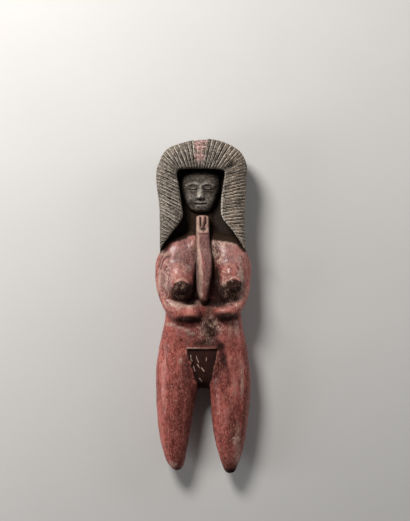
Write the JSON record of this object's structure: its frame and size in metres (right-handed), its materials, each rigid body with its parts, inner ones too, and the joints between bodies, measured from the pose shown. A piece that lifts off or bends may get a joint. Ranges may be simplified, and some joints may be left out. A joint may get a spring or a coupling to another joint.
{
  "type": "terracotta female figurine",
  "caption": "Hand-modelled clay figure of a woman lying on her back, with a large combed head of hair, a hand raised to the chin and tapering legs without feet.",
  "frame": {"origin": "on the plane the figure lies on, under the middle of its length and width", "axes": "+Y from the tips of the legs to the crown, +Z out of the figure's front, +X to the viewer's right when looking down on the front with the crown up"},
  "size_m": [0.0344, 0.1198, 0.0205],
  "materials": {
    "slipped_clay": "fired clay under a worn, burnished red slip, with bare grey-brown clay on the hair and face"
  },
  "bodies": {
    "root": {"figurine": "slipped_clay"}
  },
  "joints": []
}
